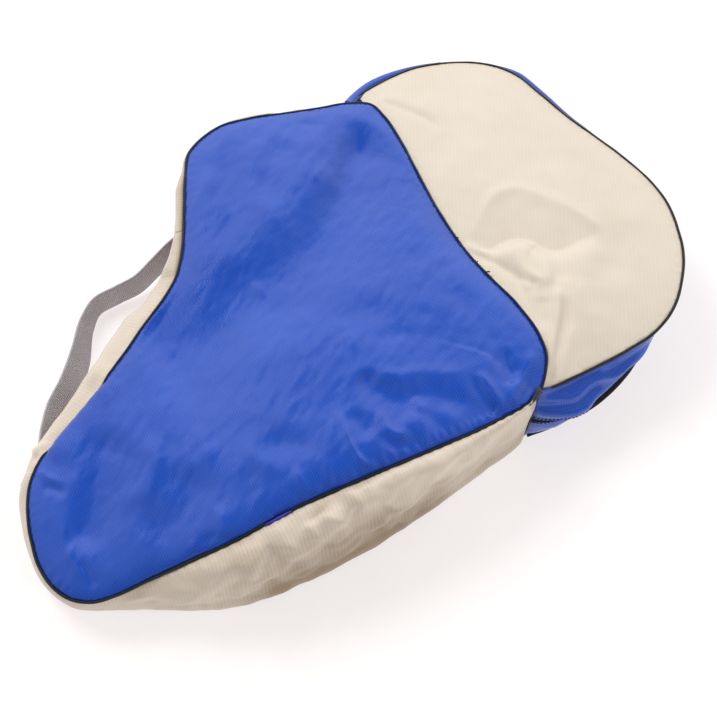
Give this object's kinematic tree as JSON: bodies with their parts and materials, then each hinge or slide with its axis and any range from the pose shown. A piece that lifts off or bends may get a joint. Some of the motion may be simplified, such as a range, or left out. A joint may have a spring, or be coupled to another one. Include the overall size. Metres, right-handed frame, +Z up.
{
  "type": "skate bag",
  "caption": "Boot-shaped soft skate bag with piped faces, a zipped collar mouth, a half-round zipped gear pocket on its back and a webbing grab handle over the instep.",
  "frame": {"origin": "centre of the footprint, on the floor the bag lies on", "axes": "+X along the sole from the toe to the gear pocket, +Y from the sole to the collar, +Z up through the thickness of the lying bag"},
  "size_m": [0.6003, 0.3869, 0.112],
  "materials": {
    "blue_oxford": "ribbed oxford nylon, slight satin sheen",
    "beige_oxford": "coated oxford nylon, satin",
    "black_piping": "covered cord, slight sheen",
    "zip_tape": "woven polyester tape, matte",
    "zip_chain": "nylon coil",
    "zip_metal": "black enamelled die casting",
    "grey_webbing": "ribbed polypropylene webbing, matte"
  },
  "bodies": {
    "bag": {"skate_upper_panel": "blue_oxford", "skate_lower_panel": "blue_oxford", "sole_gusset": "beige_oxford", "instep_gusset": "beige_oxford", "mouth_gusset_lower": "beige_oxford", "collar_gusset_end": "beige_oxford", "back_wall": "beige_oxford", "skate_upper_piping": "black_piping", "skate_lower_piping": "black_piping", "mouth_zip_tape_lower": "zip_tape", "mouth_zip_chain_lower": "zip_chain", "mouth_zip_stop_front": "zip_metal", "mouth_zip_stop_back": "zip_metal", "pocket_upper_strip": "beige_oxford", "pocket_lower_panel": "beige_oxford", "pocket_gusset_lower": "blue_oxford", "pocket_gusset_end_heel": "blue_oxford", "pocket_gusset_end_collar": "blue_oxford", "pocket_lower_piping": "black_piping", "pocket_zip_tape_lower": "zip_tape", "pocket_zip_chain_lower": "zip_chain", "pocket_zip_stop_heel": "zip_metal", "pocket_zip_stop_collar": "zip_metal", "handle_end_toe": "grey_webbing", "handle_end_collar": "grey_webbing"},
    "mouth_flap": {"mouth_flap_panel": "blue_oxford", "mouth_gusset_upper": "beige_oxford", "mouth_piping": "black_piping", "mouth_zip_tape_upper": "zip_tape", "mouth_zip_chain_upper": "zip_chain"},
    "pocket_lid": {"pocket_lid_panel": "beige_oxford", "pocket_gusset_upper": "blue_oxford", "pocket_lid_piping": "black_piping", "pocket_zip_tape_upper": "zip_tape", "pocket_zip_chain_upper": "zip_chain"},
    "mouth_slider": {"mouth_zip_slider": "zip_metal"},
    "mouth_pull": {"mouth_zip_pull": "zip_metal"},
    "pocket_slider": {"pocket_zip_slider": "zip_metal"},
    "pocket_pull": {"pocket_zip_pull": "zip_metal"},
    "handle": {"grab_handle": "grey_webbing"},
    "hang_loop": {"collar_hang_loop": "grey_webbing"}
  },
  "joints": [
    {"name": "mouth_fold", "type": "hinge", "parent": "bag", "child": "mouth_flap", "pos_m": [-0.00013, 0.1405, 0.0985], "axis": [0.9281, 0.3724, 0], "range_deg": [0, 65]},
    {"name": "lid_fold", "type": "hinge", "parent": "bag", "child": "pocket_lid", "pos_m": [0.13487, 0.004, 0.087], "axis": [0, -1, 0], "range_deg": [0, 80]},
    {"name": "mouth_slider_run", "type": "hinge", "parent": "bag", "child": "mouth_slider", "pos_m": [0.01287, 0.098, 0.048], "axis": [0, 0, 1], "range_deg": [0, 106]},
    {"name": "mouth_pull_swing", "type": "hinge", "parent": "mouth_slider", "child": "mouth_pull", "pos_m": [0.06989, 0.17647, 0.048], "axis": [0, 0, -1], "range_deg": [0, 120]},
    {"name": "pocket_slider_run", "type": "hinge", "parent": "bag", "child": "pocket_slider", "pos_m": [0.13187, 0.004, 0.042], "axis": [0, 0, -1], "range_deg": [0, 170]},
    {"name": "pocket_pull_swing", "type": "hinge", "parent": "pocket_slider", "child": "pocket_pull", "pos_m": [0.14682, 0.17485, 0.042], "axis": [0, 0, 1], "range_deg": [0, 120]},
    {"name": "handle_swing", "type": "hinge", "parent": "bag", "child": "handle", "pos_m": [-0.16663, 0.07061, 0.03281], "axis": [0.7869, 0.6169, 0.0125], "range_deg": [0, 75]},
    {"name": "loop_flip", "type": "hinge", "parent": "mouth_flap", "child": "hang_loop", "pos_m": [0.04685, 0.18651, 0.0832], "axis": [0.9336, -0.3584, 0], "range_deg": [0, 110]}
  ]
}
